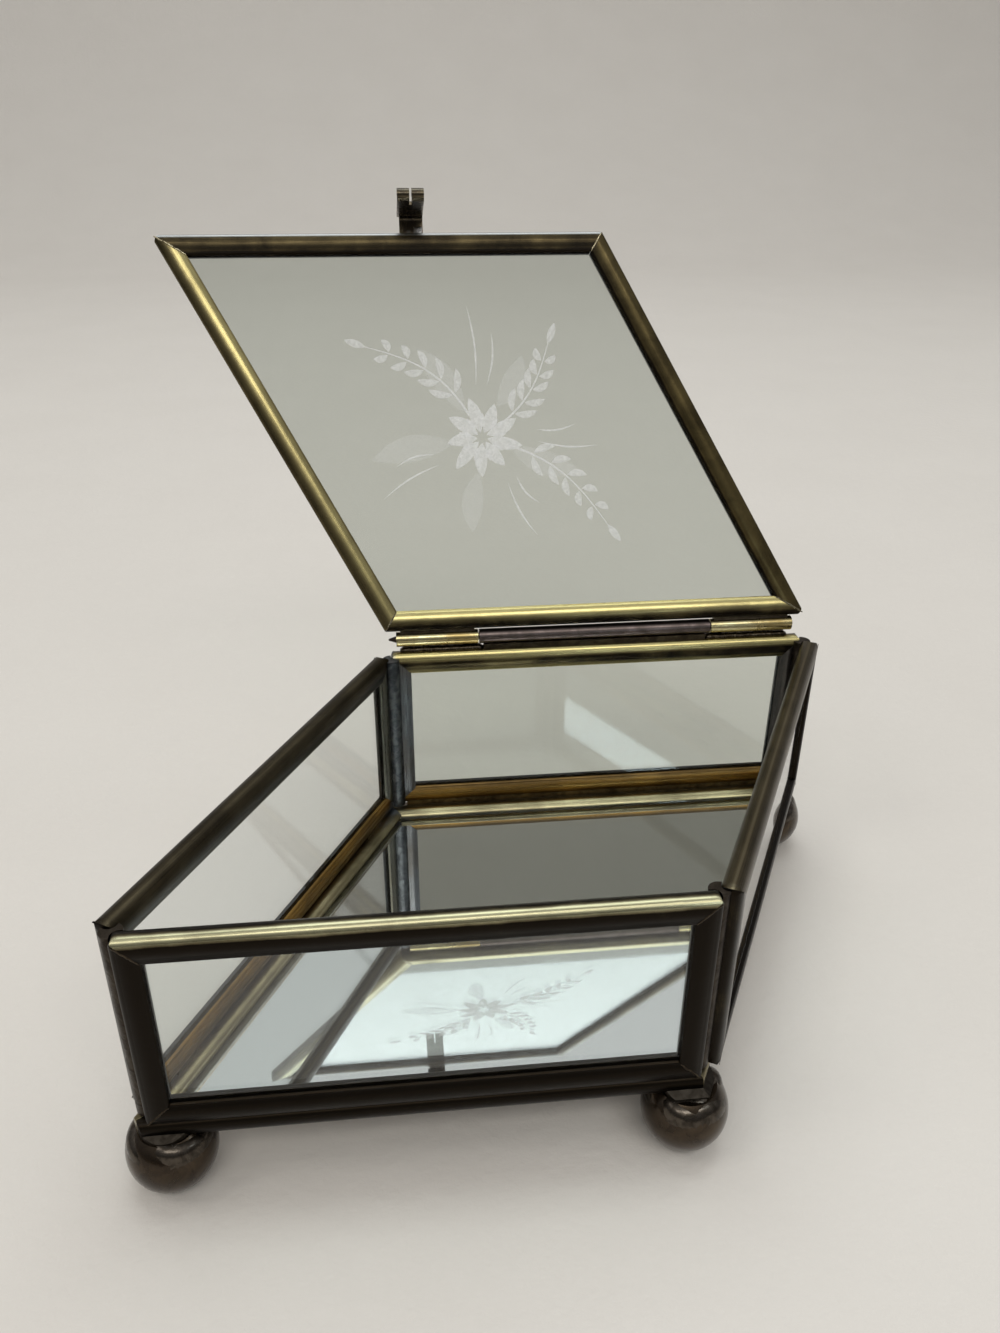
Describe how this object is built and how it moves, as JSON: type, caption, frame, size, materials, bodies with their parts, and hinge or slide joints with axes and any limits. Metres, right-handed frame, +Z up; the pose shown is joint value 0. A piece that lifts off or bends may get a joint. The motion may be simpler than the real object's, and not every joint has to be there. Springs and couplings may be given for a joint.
{
  "type": "glass casket box",
  "caption": "Leaning glass casket box, a rhombus in plan, with brass channel edges, mirror floor, ball feet, curled lift tab and a lid on a tube hinge, open.",
  "frame": {"origin": "in plan the middle of the bounding box of the part as it rests, its lid open; in height the surface that the ball feet stand on", "axes": "+X along the front wall to the right, +Y towards the hinge, +Z up"},
  "size_m": [0.1576, 0.1366, 0.1591],
  "materials": {
    "glass": "clear polished",
    "mirror": "silvered",
    "dark_brass": "dark patina",
    "satin_brass": "satin",
    "bright_brass": "polished",
    "brown_brass": "brown patina",
    "solder": "dull tin",
    "pin": "dark"
  },
  "bodies": {
    "box": {"front_glass": "glass", "back_glass": "glass", "left_glass": "glass", "right_glass": "glass", "base_mirror": "mirror", "front_bottom_came": "dark_brass", "front_right_came": "dark_brass", "front_top_came": "dark_brass", "front_left_came": "dark_brass", "back_bottom_came": "satin_brass", "back_right_came": "satin_brass", "back_top_came": "satin_brass", "back_left_came": "satin_brass", "left_bottom_came": "dark_brass", "left_front_came": "dark_brass", "left_top_came": "dark_brass", "left_back_came": "dark_brass", "right_bottom_came": "dark_brass", "right_back_came": "dark_brass", "right_top_came": "dark_brass", "right_front_came": "dark_brass", "base_front_came": "dark_brass", "base_right_came": "dark_brass", "base_back_came": "dark_brass", "base_left_came": "dark_brass", "front_left_seam": "solder", "front_right_seam": "solder", "back_right_seam": "solder", "back_left_seam": "solder", "floor_tacks": "solder", "front_left_foot": "dark_brass", "front_right_foot": "dark_brass", "back_right_foot": "dark_brass", "back_left_foot": "dark_brass", "foot_solder": "solder", "hinge_middle_tube": "brown_brass", "hinge_bed": "solder", "hinge_pin": "pin"},
    "lid": {"lid_glass": "glass", "lid_front_came": "satin_brass", "lid_right_came": "satin_brass", "lid_back_came": "satin_brass", "lid_left_came": "satin_brass", "hinge_left_tube": "bright_brass", "hinge_left_solder": "solder", "hinge_right_tube": "bright_brass", "hinge_right_solder": "solder", "lift_tab": "dark_brass", "lift_tab_solder": "solder"}
  },
  "joints": [
    {"name": "lid_hinge", "type": "hinge", "parent": "box", "child": "lid", "pos_m": [0.02323, 0.0319, 0.0633], "axis": [1, 0, 0], "range_deg": [0, 112.8]}
  ]
}
